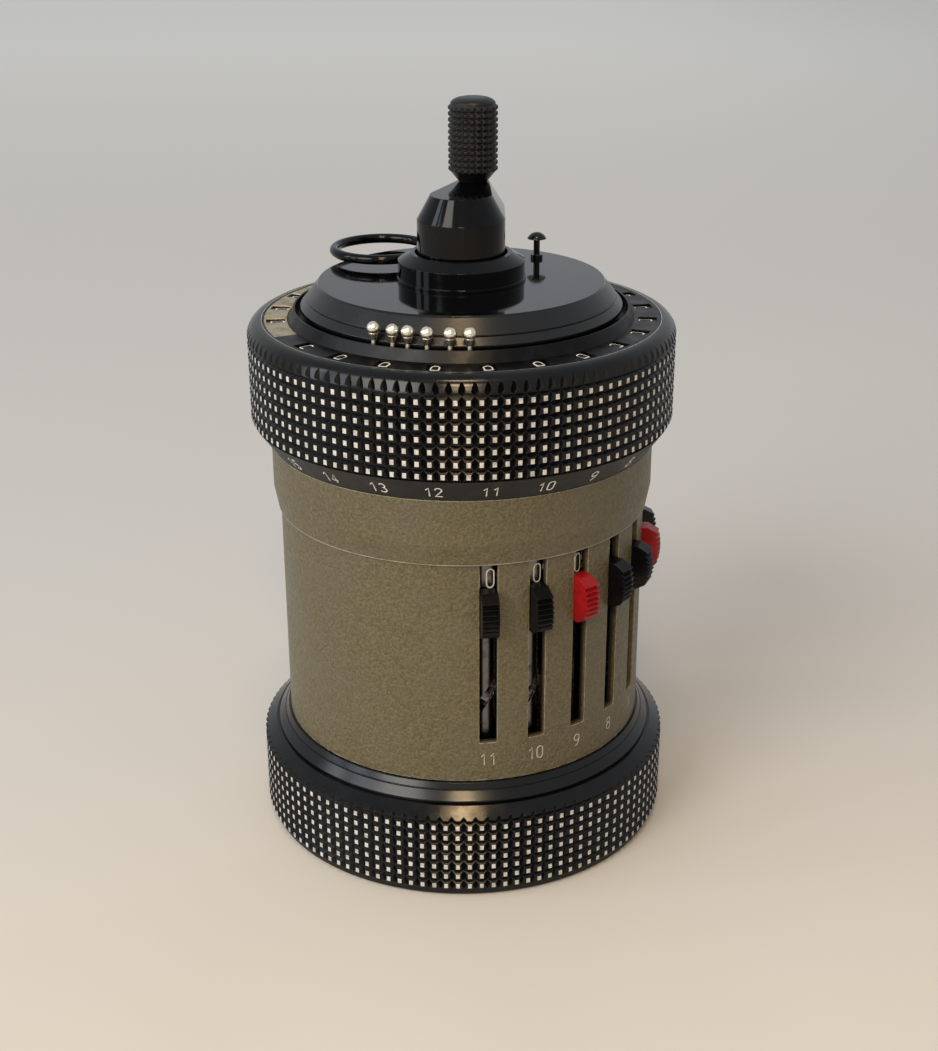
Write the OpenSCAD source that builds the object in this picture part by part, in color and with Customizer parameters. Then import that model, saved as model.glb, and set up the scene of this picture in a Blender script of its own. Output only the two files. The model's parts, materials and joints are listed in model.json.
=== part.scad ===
// Hand-cranked pocket calculator in a cylinder: knurled base, slotted housing
// with setting sliders, knurled carriage with result dials, and a crank on top.
// Millimetres. Z is the main axis, the base stands on z = 0, the front is -Y.

/* [Base] */
// How far the knurl of the base ring stands out past the housing
base_out = 4.4; // [3.8:0.1:7]
// Height of the knurled band on the base ring
base_knurl_h = 12; // [9:0.5:16]
// Thickness of the bottom plate, which shows as a plain rim
base_plate_t = 1.2; // [1:0.1:2.5]
// Height of the sloped neck between base knurl and housing
base_neck_h = 4.7; // [4:0.1:7]

/* [Housing] */
// Outer radius of the slotted lower housing
body_r = 28.6; // [26:0.1:34]
// Height of the slotted lower housing
body_h = 35.8; // [35:0.1:44]
// How far the upper band stands out past the slotted part
band_out = 1; // [0.4:0.1:1.4]
// Height of the upper band
band_h = 10.2; // [9:0.1:14]
// Wall of the slotted part
body_wall = 1.2; // [1:0.1:1.6]

/* [Sliders] */
// Width of a slider knob
knob_w = 2.5; // [2:0.1:2.8]
// Height of a slider knob
knob_h = 7.1; // [6:0.1:7.6]
// How far a knob stands out of the housing
knob_reach = 3; // [2:0.1:4]
// Travel of a slider for one digit
digit_pitch = 1.9; // [1.6:0.05:1.95]
// Side play of a knob in its slot
slot_play = 0.1; // [0.05:0.01:0.2]

/* [Carriage] */
// How far the knurl of the carriage ring stands out past the upper band
carriage_out = 2.9; // [2.6:0.1:6]
// Height of the knurled band on the carriage ring
carriage_knurl_h = 12.5; // [12:0.1:16]
// Height of the coned number ring below the knurl
number_ring_h = 3.6; // [3:0.1:6]
// Radius of the rounded shoulder above the knurl
shoulder_r = 2.2; // [1.6:0.1:2.4]
// Lift of the carriage before it can be turned
carriage_lift = 4; // [3:0.1:4.4]

/* [Clearing plate] */
// How far the plate's cone spreads out below its flat top disc
cone_out = 2.8; // [2:0.1:4]
// Rise of the flat top disc above the carriage rim
disc_rise = 5.4; // [5:0.1:7]
// Gap between the finger ring and the foot of the crank's collar
ring_gap = 0.38; // [0.2:0.02:1.5]
// Thickness of the finger ring's wire
ring_wire = 1.5; // [1:0.1:1.8]

/* [Crank] */
// Radius of the crank hub
hub_r = 6.6; // [6:0.1:6.7]
// Distance from the main axis to the grip axis
crank_reach = 10.3; // [9:0.1:14]
// Radius over the knurl of the grip
grip_r = 3.8; // [3.4:0.1:4.4]
// Height of the knurled part of the grip
grip_knurl_h = 10; // [8:0.5:14]
// Lift of the crank to its subtracting position
crank_lift = 3; // [2:0.1:3.4]

/* [Hidden] */
$fn = 64;

// Play of a turning or sliding fit, of a loose fit, and of a wide open gap
run_play = 0.05;
loose_play = 0.1;
clear_gap = 0.3;
// Overlap that joins two solids of one piece, and overshoot of a cut
join = 0.2;
past = 1;

// Stations around the machine: one every 15 degrees, the front of the slot row at the right
slider_count = 11;
result_count = 15;
counter_count = 8;
station_count = 24;
station_step = 360 / station_count;
first_station = station_step / 2;
function station_angle(k) = first_station + station_step * (slider_count - k);

// Heights, stacked from the table upwards
z_base_knurl = base_plate_t;
z_base_top = z_base_knurl + base_knurl_h;
z_body = z_base_top + base_neck_h;
z_step = z_body + body_h;
z_body_top = z_step + band_h;
z_number = z_body_top + loose_play;
z_carriage = z_number + number_ring_h;
z_carriage_top = z_carriage + carriage_knurl_h;
rim_gap = 0.6;
z_rim = z_carriage_top + rim_gap + shoulder_r;
deck_drop = 0.05;
z_deck = z_rim - deck_drop;
z_disc = z_rim + disc_rise;

// Knurl: square pyramids with flat tops
knurl_columns = 114;
knurl_rows = 7;
knurl_land = 0.7;
knurl_depth = 0.55;
// Rings are cut a little deeper than the upright notches, which start a little outside the band
ring_deeper = 0.06;
notch_over = 0.15;

// Base
base_r = body_r + base_out;
base_inset = 0.6;
foot_chamfer = 0.4;
collar_out = 1.35;
collar_r = body_r + collar_out;
collar_wall = 4;
bevel_in = 1.9;
bevel_h = 2;
neck_line = 0.15;
neck_f = 0.62;
neck_foot_in = 0.5;
neck_foot_h = 0.4;
neck_top_out = 0.4;
boss_r = 6;
boss_grip = 4;
boss_h = boss_grip + crank_lift;
screw_count = 3;
screw_ring_in = 6.4;
screw_ring_r = collar_r - screw_ring_in;
screw_head_r = 2.4;
screw_r = 1.2;
screw_len = 7;
screw_sink = 0.15;
screw_slot_w = 0.5;
screw_slot_d = 0.5;
pillar_r = 3;

// Housing
body_in_r = body_r - body_wall;
band_r = body_r + band_out;
carriage_r = band_r + carriage_out;
step_out = 0.4;
band_cone_h = 3.3;
slot_w = knob_w + 2 * slot_play;
slot_top_gap = 0.2;
window_h = 4.05;
slot_end_gap = 0.8;
edge_chamfer = 0.15;
ledge_in = 0.8;
ledge_h = 1.2;
plate_t = 2.4;
upper_plate_drop = 6.4;
z_upper_plate = z_body_top - upper_plate_drop;

// Sliders and setting shafts
top_digit = 9;
digit_turn = 36;
travel = top_digit * digit_pitch;
z_slot_top = z_step - slot_top_gap;
z_knob_top = z_slot_top - window_h;
z_knob = z_knob_top - knob_h;
z_slot = z_knob - travel - slot_end_gap;
set_shaft_in = 3;
set_shaft_ring_r = body_in_r - set_shaft_in;
set_shaft_r = 2;
number_drum_r = 2.9;
number_drum_h = 4.8;
number_drum_drop = 0.5;
journal_r = 0.8;
drum_neck_r = 1.2;
drum_neck_h = 1;
groove_slices = 26;
groove_w = 1.5;
groove_d = 0.7;
groove_end = 1.2;
groove_turn = digit_turn / digit_pitch;
pin_r = 0.45;
pin_depth = 0.5;
arm_h = 2;
arm_t = 0.65;
arm_wall_gap = 0.35;
arm_rise = 1.8;
z_arm = z_knob + arm_rise;
z_pin = z_arm + arm_h / 2;
knob_teeth = 7;
knob_tooth_d = 0.4;
knob_tooth_lean = 0.8;
knob_bevel = 0.8;
knob_crown = 0.5;
knob_in = 0.2;
fork_ring_r = 1.9;
fork_h = 1;
gear_r = 2.1;
gear_root_r = 1.5;
gear_teeth = 10;
gear_h = 1.5;
// Corners of one gear tooth: share of its step, and 1 at the tip or 0 at the root
gear_tooth = [[0, 0], [0.2, 1], [0.5, 1], [0.7, 0]];
drive_in = 7;
drive_ring_r = set_shaft_ring_r - drive_in;
drive_r = 0.9;
pinion_h = 1.8;

// Drum and main shaft
main_r = 2.5;
drum_in = 4.4;
drum_gap = 0.4;
drum_r = drive_ring_r - drum_in;
drum_tooth_r = drive_ring_r - gear_r - drum_gap;
drum_tooth_w = 1.2;
drum_tooth_step = 12;
drum_top_h = 2;
z_drum = z_arm - travel - digit_pitch;
z_drum_top = z_pin + drum_top_h;
shaft_foot = 2;
bush_r = 4.5;
bush_flange_r = 6;
bush_flange_h = 0.8;

// Carriage
sleeve_r = band_r + clear_gap;
deck_step = 0.25;
deck_r = sleeve_r + deck_step;
number_wall = 1.8;
number_top_in = 0.3;
number_top_r = carriage_r - number_top_in;
number_neck_h = 2.4;
deck_t = 1.5;
window_t = 0.4;
window_w = 2.2;
window_in = 3.2;
window_out = 0.4;
window_in_r = sleeve_r - window_in;
window_out_r = sleeve_r - window_out;
lip_in = 4.45;
lip_r = sleeve_r - lip_in;
lip_t = 0.3;
lip_h = 1.6;
lip_slope = 0.75;
dial_r = 2.3;
dial_end_gap = 0.1;
dial_rise = 0.2;
dial_in_r = window_in_r + dial_end_gap;
dial_out_r = window_out_r - dial_end_gap;
dial_axle_r = 0.6;
dial_axle_len = 1.6;
z_dial = z_deck - window_t + dial_rise - dial_r;
dial_wall_t = 1.7;
dial_wall_h = 7;
face_t = 0.2;
face_in_r = lip_r + lip_slope + loose_play;
face_first = -67.5;
face_edge = 2.5;
face_span = (counter_count + 0.5) * station_step;
hub_in_r = 7.3;
hub_out_r = 9;
hub_floor_h = 3;
neck_h = 3.25;
tube_r = 5;
tube_flange_r = 9;
tube_flange_h = 1.5;
tube_end_r = 4.4;
nut_r = 7.1;
nut_h = 1.4;
nut_rise = 1.65;
z_nut = z_deck + nut_rise;
washer_h = 0.55;
z_washer = z_nut - run_play - washer_h;
spring_min = 8.2;
z_hub_floor = z_nut - spring_min - carriage_lift;
spring_wire_r = 0.4;
spring_r = 6.1;
spring_turns = 6;
spring_steps = 24;
spring_sides = 6;

// Decimal markers
marker_gap = 0.42;
marker_ring_r = lip_r - lip_t - marker_gap;
marker_ball_r = 0.95;
marker_stem_r = 0.36;
marker_rise = 3.75;
marker_neck_r = 0.75;
marker_neck_h = 1;
marker_neck_rise = 2.1;
marker_angles = [-29.7, -22.7, -17.5, -11.1, -3.7, 2.6];

// Clearing plate, collar and finger ring
skirt_r = marker_ring_r - marker_gap;
disc_r = skirt_r - cone_out;
skirt_drop = 3.5;
skirt_foot_h = 0.5;
skirt_wall = 1;
cone_line_f = 0.66;
cone_line_d = 0.12;
plate_top_t = 1.9;
plate_hub_wall = 1.6;
plate_hub_r = hub_out_r + plate_hub_wall;
bore_r = 7;
collar_foot_r = 9.7;
collar_foot_h = 0.45;
collar_top_r = 9.52;
collar_wall_h = 2.9;
collar_lip_r = 7.6;
collar_h = 4.1;
ring_rise = 1.42;
ring_in = 3.18;
ring_turn = 133;
ring_x = (disc_r - ring_in) * cos(ring_turn);
ring_y = (disc_r - ring_in) * sin(ring_turn);
ring_r = disc_r - ring_in - collar_foot_r - ring_wire / 2 - ring_gap;
pivot_in = 2.37;
pivot_turn = 103.6;
pivot_x = (disc_r - pivot_in) * cos(pivot_turn);
pivot_y = (disc_r - pivot_in) * sin(pivot_turn);
pivot_r = 0.9;
pivot_head_r = 1.6;
pivot_head_h = 0.6;
pivot_sink = 1;
eye_r = 2;
eye_h = 1.5;
eye_arm_w = 1.8;
stop_in = 4.03;
stop_turn = 47.1;
stop_x = (disc_r - stop_in) * cos(stop_turn);
stop_y = (disc_r - stop_in) * sin(stop_turn);
stop_r = 0.5;
stop_foot_r = 0.95;
stop_foot_h = 0.6;
stop_h = 4.1;
stop_head_r = 1.5;
stop_head_h = 1;

// Crank
crank_angle = 169.5;
hub_sink = 1.2;
z_hub = z_disc - hub_sink;
arm_clearance = 0.9;
z_arm_low = z_disc + collar_h + carriage_lift + arm_clearance;
arm_thick = 3.6;
z_arm_top = z_arm_low + arm_thick;
hub_top_r = 4.6;
end_low_r = 4.8;
end_top_r = 2.5;
spindle_r = 1.2;
grip_gap = 0.1;
grip_neck_r = 2.2;
grip_neck_h = 1.5;
grip_rows = 11;
grip_columns = 22;
grip_land = 0.32;
grip_depth = 0.3;
grip_dome_h = 1.1;
grip_flat_r = 1.2;
grip_dome_steps = 6;
spindle_short = 2.4;

// Reversing lever, at the back
lever_angle = -150;
lever_w = 2.2;
lever_h = 4;
lever_travel = 3;
lever_plate_w = 5;
lever_plate_t = 0.8;
lever_reach = 2.2;
lever_rise = 22;
z_lever = z_body + lever_rise;

// Outline of a knurled band as radius and height, from the bottom up
function knurl_rows_outline(r, z, h, rows, land, depth) = [
  for (i = [0:rows - 1]) each [
    [r - depth - ring_deeper, z + i * h / rows],
    [r, z + (i + 0.5) * h / rows - land / 2],
    [r, z + (i + 0.5) * h / rows + land / 2]
  ],
  [r - depth - ring_deeper, z + h]
];

// One station's frame: the piece is drawn at the front and turned into place
module at_station(angle) {
  rotate([0, 0, angle]) children();
}

// Upright V notches all round a knurled band
module knurl_notches(r, z, h, columns, land, depth) {
  half_w = (PI * r / columns - land / 2) * (depth + notch_over) / depth;
  for (i = [0:columns - 1])
    at_station(i * 360 / columns)
      translate([0, -r, z])
        linear_extrude(h)
          polygon([[0, depth], [-half_w, -notch_over], [half_w, -notch_over]]);
}

// Plain tube between two radii
module tube(r_out, r_in, z, h) {
  translate([0, 0, z])
    difference() {
      cylinder(r = r_out, h = h);
      translate([0, 0, -past]) cylinder(r = r_in, h = h + 2 * past);
    }
}

// Small spur gear outline
module gear_outline(r_tip, r_root, teeth) {
  step = 360 / teeth;
  polygon([
    for (i = [0:teeth - 1], c = gear_tooth)
      let (a = (i + c[0]) * step, r = c[1] == 1 ? r_tip : r_root)
      [r * cos(a), r * sin(a)]
  ]);
}

// Base

module base_plate() {
  color("dimgray")
    difference() {
      rotate_extrude()
        polygon([
          [0, 0], [base_r - base_inset - foot_chamfer, 0], [base_r - base_inset, foot_chamfer],
          [base_r - base_inset, base_plate_t], [boss_r, base_plate_t], [boss_r, base_plate_t + boss_h],
          [main_r + run_play, base_plate_t + boss_h], [main_r + run_play, shaft_foot + base_plate_t],
          [0, shaft_foot + base_plate_t]
        ]);
      for (i = [0:screw_count - 1])
        at_station(i * 360 / screw_count)
          translate([0, -screw_ring_r, 0]) {
            translate([0, 0, -past]) cylinder(r = screw_r + run_play, h = base_plate_t + 2 * past);
            translate([0, 0, -past])
              cylinder(r = screw_head_r + loose_play, h = base_plate_t / 2 + past);
          }
    }
}

module base_screws() {
  color("silver")
    for (i = [0:screw_count - 1])
      at_station(i * 360 / screw_count)
        translate([0, -screw_ring_r, screw_sink])
          difference() {
            union() {
              cylinder(r = screw_head_r, h = base_plate_t / 2 - screw_sink);
              cylinder(r = screw_r, h = base_plate_t + screw_len);
            }
            translate([-screw_head_r - past, -screw_slot_w / 2, -past])
              cube([2 * (screw_head_r + past), screw_slot_w, screw_slot_d / 2 + past]);
          }
}

module base_ring() {
  pitch = base_knurl_h / knurl_rows;
  color("black")
    difference() {
      rotate_extrude()
        polygon(concat(
          [[collar_r + run_play, z_base_knurl]],
          knurl_rows_outline(base_r, z_base_knurl, base_knurl_h, knurl_rows, knurl_land, knurl_depth),
          [
            [base_r, z_base_top + (pitch - knurl_land) / 2],
            [base_r - bevel_in, z_base_top + bevel_h],
            [collar_r + run_play, z_base_top + bevel_h]
          ]
        ));
      knurl_notches(base_r, z_base_knurl - past, base_knurl_h + bevel_h + 2 * past, knurl_columns,
        knurl_land, knurl_depth);
    }
}

module base_collar() {
  z_flange = z_base_top + bevel_h + run_play;
  lip_r_low = base_r - bevel_in - neck_foot_in;
  lip_r_top = body_r + neck_top_out;
  r_line = lip_r_low + (lip_r_top - lip_r_low) * neck_f;
  z_line = z_flange + (z_body - z_flange) * neck_f;
  color("black")
    difference() {
      union() {
        rotate_extrude()
          polygon([
            [collar_r - collar_wall, base_plate_t], [collar_r, base_plate_t], [collar_r, z_flange],
            [lip_r_low, z_flange], [lip_r_low, z_flange + neck_foot_h], [r_line, z_line],
            [r_line - neck_line, z_line],
            [r_line - neck_line, z_line + neck_line], [lip_r_top, z_body],
            [collar_r - collar_wall, z_body]
          ]);
        for (i = [0:screw_count - 1])
          at_station(i * 360 / screw_count)
            translate([0, -screw_ring_r, base_plate_t])
              cylinder(r = pillar_r, h = screw_len + past);
      }
      for (i = [0:screw_count - 1])
        at_station(i * 360 / screw_count)
          translate([0, -screw_ring_r, 0])
            cylinder(r = screw_r + run_play, h = base_plate_t + screw_len + screw_sink + run_play);
    }
}

// Housing and the two bearing plates

module housing() {
  z_ledge = z_upper_plate - ledge_h;
  color("darkkhaki")
    difference() {
      rotate_extrude()
        polygon([
          [body_in_r, z_body], [body_r - edge_chamfer, z_body], [body_r, z_body + edge_chamfer],
          [body_r, z_step], [body_r + step_out, z_step], [band_r, z_step + band_cone_h],
          [band_r, z_body_top], [body_in_r, z_body_top], [body_in_r, z_upper_plate],
          [body_in_r - ledge_in, z_upper_plate], [body_in_r - ledge_in, z_ledge],
          [body_in_r, z_ledge - ledge_in]
        ]);
      for (k = [1:slider_count])
        at_station(station_angle(k))
          translate([-slot_w / 2, -body_r - past, z_slot])
            cube([slot_w, body_wall + 2 * past, z_slot_top - z_slot]);
      at_station(lever_angle)
        translate([-lever_w / 2 - slot_play, -body_r - past, z_lever - slot_end_gap])
          cube([
            lever_w + 2 * slot_play, body_wall + 2 * past, lever_h + lever_travel + 2 * slot_end_gap
          ]);
    }
}

// Round plate drilled for the setting and transmission shafts
module bearing_plate(z, centre_r) {
  difference() {
    translate([0, 0, z]) cylinder(r = body_in_r - run_play, h = plate_t);
    translate([0, 0, z - past]) cylinder(r = centre_r, h = plate_t + 2 * past);
    for (k = [1:slider_count])
      at_station(station_angle(k)) {
        translate([0, -set_shaft_ring_r, z - past])
          cylinder(r = journal_r + run_play, h = plate_t + 2 * past);
        translate([0, -drive_ring_r, z - past])
          cylinder(r = drive_r + run_play, h = plate_t + 2 * past);
      }
  }
}

module lower_plate() {
  color("goldenrod") bearing_plate(z_body, bush_r + run_play);
}

module upper_plate() {
  color("goldenrod") bearing_plate(z_upper_plate, main_r + clear_gap);
}

module transmission_shafts() {
  z_pinion = z_upper_plate + plate_t + loose_play;
  color("silver")
    for (k = [1:slider_count])
      at_station(station_angle(k))
        translate([0, -drive_ring_r, 0]) {
          translate([0, 0, z_body + clear_gap])
            cylinder(r = drive_r, h = z_pinion - z_body - clear_gap + pinion_h);
          translate([0, 0, z_pinion])
            linear_extrude(pinion_h) gear_outline(gear_r, gear_root_r, gear_teeth);
        }
}

module frame_tube() {
  z = z_upper_plate + plate_t;
  color("silver")
    rotate_extrude()
      polygon([
        [main_r + run_play, z], [tube_flange_r, z], [tube_flange_r, z + tube_flange_h],
        [tube_r, z + tube_flange_h], [tube_r, z_nut], [tube_end_r, z_nut], [tube_end_r, z_nut + nut_h],
        [main_r + run_play, z_nut + nut_h]
      ]);
}

module retaining_nut() {
  color("silver") tube(nut_r, tube_end_r + run_play, z_nut, nut_h);
}

// Carriage

module carriage_ring() {
  z_round = z_rim - shoulder_r;
  color("black")
    difference() {
      rotate_extrude()
        difference() {
          polygon(concat(
            [[sleeve_r, z_carriage]],
            knurl_rows_outline(carriage_r, z_carriage, carriage_knurl_h, knurl_rows, knurl_land,
              knurl_depth),
            [
              [carriage_r, z_carriage_top + (carriage_knurl_h / knurl_rows - knurl_land) / 2],
              [carriage_r, z_rim], [deck_r + run_play, z_rim], [deck_r + run_play, z_deck - window_t],
              [sleeve_r, z_deck - window_t]
            ]
          ));
          translate([carriage_r - shoulder_r, z_round])
            difference() {
              square(shoulder_r + past);
              circle(shoulder_r);
            }
        }
      knurl_notches(carriage_r, z_carriage - past, carriage_knurl_h + shoulder_r + 2 * past,
        knurl_columns, knurl_land, knurl_depth);
    }
}

module number_ring() {
  color("black")
    rotate_extrude()
      polygon([
        [band_r - number_wall, z_number], [band_r, z_number], [number_top_r, z_carriage],
        [sleeve_r - run_play, z_carriage], [sleeve_r - run_play, z_carriage + number_neck_h],
        [band_r - number_wall, z_carriage + number_neck_h]
      ]);
}

// Window cut through the deck above one dial
module dial_window() {
  translate([-window_w / 2, -window_out_r, z_deck - 2 * window_t])
    cube([window_w, window_out_r - window_in_r, 3 * window_t]);
}

// Sector of the deck under the silver counter face
module face_sector(r_in, r_out, z, h) {
  at_station(face_first - face_span)
    translate([0, 0, z])
      rotate([0, 0, -90])
        rotate_extrude(angle = face_span + face_edge)
          translate([r_in, 0]) square([r_out - r_in, h]);
}

module carriage_deck() {
  wall_r = dial_in_r - clear_gap;
  color("black")
    difference() {
      rotate_extrude()
        polygon([
          [tube_r + run_play, z_hub_floor - hub_floor_h], [hub_out_r, z_hub_floor - hub_floor_h],
          [hub_out_r, z_deck - deck_t], [wall_r - dial_wall_t, z_deck - deck_t],
          [wall_r - dial_wall_t, z_deck - dial_wall_h], [wall_r, z_deck - dial_wall_h],
          [wall_r, z_deck - window_t], [deck_r, z_deck - window_t], [deck_r, z_deck],
          [lip_r + lip_slope, z_deck],
          [lip_r, z_deck + lip_h], [lip_r - lip_t, z_deck + lip_h], [lip_r - lip_t, z_deck],
          [hub_out_r, z_deck], [hub_out_r, z_deck + neck_h], [hub_in_r, z_deck + neck_h],
          [hub_in_r, z_hub_floor], [tube_r + run_play, z_hub_floor]
        ]);
      for (i = [0:result_count - 1]) at_station(station_angle(1 + i)) dial_window();
      for (i = [0:counter_count - 1]) at_station(face_first - station_step * (i + 1)) dial_window();
      for (i = [0:station_count - 1])
        if (i != result_count)
          at_station(station_angle(1 + i))
            translate([0, -wall_r - past, z_dial]) rotate([-90, 0, 0])
              cylinder(r = dial_axle_r + run_play, h = dial_wall_t + 2 * past);
      face_sector(face_in_r, deck_r - 2 * loose_play, z_deck - face_t, face_t + past);
    }
}

module counter_face() {
  color("silver")
    difference() {
      face_sector(face_in_r + loose_play, deck_r - 3 * loose_play, z_deck - face_t, face_t);
      for (i = [0:counter_count - 1]) at_station(face_first - station_step * (i + 1)) dial_window();
    }
}

// One number dial lying on its side, its axle in the wall of the deck
module dial() {
  translate([0, -dial_in_r, z_dial]) rotate([90, 0, 0]) {
    cylinder(r = dial_r, h = dial_out_r - dial_in_r);
    translate([0, 0, -dial_axle_len]) cylinder(r = dial_axle_r, h = dial_axle_len + join);
  }
}

module result_dials() {
  color("dimgray") for (i = [0:result_count - 1]) at_station(station_angle(1 + i)) dial();
}

module counter_dials() {
  color("dimgray")
    for (i = [0:counter_count - 1]) at_station(face_first - station_step * (i + 1)) dial();
}

module decimal_marker(k) {
  color("silver")
    at_station(marker_angles[k - 1])
      translate([0, -marker_ring_r, z_deck + run_play]) {
        cylinder(r = marker_stem_r, h = marker_rise);
        translate([0, 0, marker_neck_rise])
          cylinder(r1 = marker_stem_r, r2 = marker_neck_r, h = marker_neck_h);
        translate([0, 0, marker_rise]) sphere(r = marker_ball_r);
      }
}

// Clearing plate with its collar, finger ring and stop pin

module clearing_plate() {
  z_foot = z_disc - skirt_drop;
  z_under = z_disc - plate_top_t;
  r_line = disc_r + (skirt_r - disc_r) * cone_line_f;
  z_line = z_disc - skirt_drop * cone_line_f;
  color("black")
    difference() {
      rotate_extrude()
        polygon([
          [bore_r, z_disc], [disc_r, z_disc], [r_line, z_line], [r_line - cone_line_d, z_line],
          [r_line - cone_line_d, z_line - cone_line_d],
          [r_line + cone_line_d, z_line - 2 * cone_line_d],
          [skirt_r, z_foot], [skirt_r, z_foot - skirt_foot_h],
          [skirt_r - skirt_wall, z_foot - skirt_foot_h],
          [disc_r - skirt_wall, z_under], [plate_hub_r, z_under], [plate_hub_r, z_deck + run_play],
          [hub_out_r + run_play, z_deck + run_play], [hub_out_r + run_play, z_under], [bore_r, z_under]
        ]);
      translate([pivot_x, pivot_y, z_disc - pivot_sink])
        cylinder(r = pivot_r + run_play, h = pivot_sink + past);
      translate([stop_x, stop_y, z_disc - pivot_sink])
        cylinder(r = stop_r + run_play, h = pivot_sink + past);
    }
}

module hub_collar() {
  color("black")
    rotate_extrude()
      polygon([
        [bore_r, z_disc], [collar_foot_r, z_disc], [collar_foot_r, z_disc + collar_foot_h],
        [collar_top_r, z_disc + collar_foot_h], [collar_top_r, z_disc + collar_wall_h],
        [collar_lip_r, z_disc + collar_h], [bore_r, z_disc + collar_h]
      ]);
}

module clearing_ring() {
  z = z_disc + ring_rise;
  reach = sqrt(pow(pivot_x - ring_x, 2) + pow(pivot_y - ring_y, 2));
  turn = atan2(pivot_y - ring_y, pivot_x - ring_x);
  color("black")
    difference() {
      union() {
        translate([ring_x, ring_y, z])
          rotate_extrude() translate([ring_r, 0]) circle(ring_wire / 2);
        translate([ring_x, ring_y, z - ring_wire / 2]) rotate([0, 0, turn])
          translate([ring_r, -eye_arm_w / 2, 0]) cube([reach - ring_r, eye_arm_w, ring_wire]);
        translate([pivot_x, pivot_y, z - eye_h / 2]) cylinder(r = eye_r, h = eye_h);
      }
      translate([pivot_x, pivot_y, z - eye_h]) cylinder(r = pivot_r + run_play, h = 2 * eye_h);
    }
}

module ring_pivot_pin() {
  top = ring_rise + eye_h / 2 + run_play;
  color("silver")
    translate([pivot_x, pivot_y, z_disc - pivot_sink]) {
      cylinder(r = pivot_r, h = pivot_sink + top + join);
      translate([0, 0, pivot_sink + top]) cylinder(r = pivot_head_r, h = pivot_head_h);
      translate([0, 0, pivot_sink]) cylinder(r = pivot_head_r, h = ring_rise - eye_h / 2 - run_play);
    }
}

module ring_stop_pin() {
  dome_r = (pow(stop_head_r, 2) + pow(stop_head_h, 2)) / (2 * stop_head_h);
  color("black")
    translate([stop_x, stop_y, z_disc]) {
      translate([0, 0, -pivot_sink])
        cylinder(r = stop_r, h = pivot_sink + stop_h - stop_head_h + join);
      cylinder(r = stop_foot_r, h = stop_foot_h);
      intersection() {
        translate([0, 0, stop_h - dome_r]) sphere(r = dome_r);
        translate([0, 0, stop_h - stop_head_h]) cylinder(r = stop_head_r, h = stop_head_h);
      }
    }
}

// Main shaft, drum and crank

module main_shaft() {
  z = base_plate_t + shaft_foot + clear_gap;
  color("silver") translate([0, 0, z]) cylinder(r = main_r, h = z_arm_low - z);
}

module step_drum() {
  color("goldenrod")
    difference() {
      union() {
        translate([0, 0, z_drum]) cylinder(r = drum_r, h = z_drum_top - z_drum);
        for (i = [1:top_digit])
          at_station(i * drum_tooth_step)
            translate([-drum_tooth_w / 2, -drum_tooth_r, z_drum])
              cube([drum_tooth_w, drum_tooth_r - drum_r + join, i * digit_pitch]);
      }
      translate([0, 0, z_drum - past])
        cylinder(r = main_r + run_play, h = z_drum_top - z_drum + 2 * past);
    }
}

module crank_arm() {
  color("black")
    difference() {
      union() {
        translate([0, 0, z_hub]) cylinder(r = hub_r, h = z_arm_low - z_hub + join);
        hull() {
          translate([0, 0, z_arm_low]) cylinder(r1 = hub_r, r2 = hub_top_r, h = arm_thick);
          at_station(crank_angle - 180)
            translate([0, crank_reach, z_arm_low])
              cylinder(r1 = end_low_r, r2 = end_top_r, h = arm_thick);
        }
      }
      translate([0, 0, z_hub - past]) cylinder(r = main_r + run_play, h = z_arm_low - z_hub + past);
      at_station(crank_angle - 180)
        translate([0, crank_reach, z_arm_low - past])
          cylinder(r = spindle_r + run_play, h = arm_thick + 2 * past);
    }
}

module grip_spindle() {
  z_top = z_arm_top + grip_gap + grip_neck_h + grip_knurl_h + grip_dome_h - spindle_short;
  color("silver")
    at_station(crank_angle - 180)
      translate([0, crank_reach, z_arm_low]) cylinder(r = spindle_r, h = z_top - z_arm_low);
}

module crank_grip() {
  z = z_arm_top + grip_gap;
  z_knurl = z + grip_neck_h;
  z_dome = z_knurl + grip_knurl_h;
  color("black")
    at_station(crank_angle - 180)
      translate([0, crank_reach, 0])
        difference() {
          rotate_extrude()
            polygon(concat(
              [[spindle_r + run_play, z], [grip_neck_r, z]],
              knurl_rows_outline(grip_r, z_knurl, grip_knurl_h, grip_rows, grip_land, grip_depth),
              [
                for (i = [1:grip_dome_steps])
                  let (a = 90 * i / grip_dome_steps)
                  [
                    grip_flat_r + (grip_r - grip_depth - grip_flat_r) * cos(a),
                    z_dome + grip_dome_h * sin(a)
                  ]
              ],
              [
                [0, z_dome + grip_dome_h], [0, z_dome + grip_dome_h - spindle_short + loose_play],
                [spindle_r + run_play, z_dome + grip_dome_h - spindle_short + loose_play]
              ]
            ));
          knurl_notches(grip_r, z_knurl - past, grip_knurl_h + 2 * past, grip_columns, grip_land,
            grip_depth);
        }
}

module shaft_bush() {
  color("goldenrod") {
    tube(bush_r, main_r + run_play, z_body - clear_gap, plate_t + clear_gap + loose_play + join);
    tube(bush_flange_r, main_r + run_play, z_body + plate_t + loose_play, bush_flange_h);
  }
}

// Spring that presses the carriage down, between the washer and the floor of its hub

module spring_washer() {
  color("silver") tube(nut_r, tube_r + loose_play, z_washer, washer_h);
}

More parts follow.
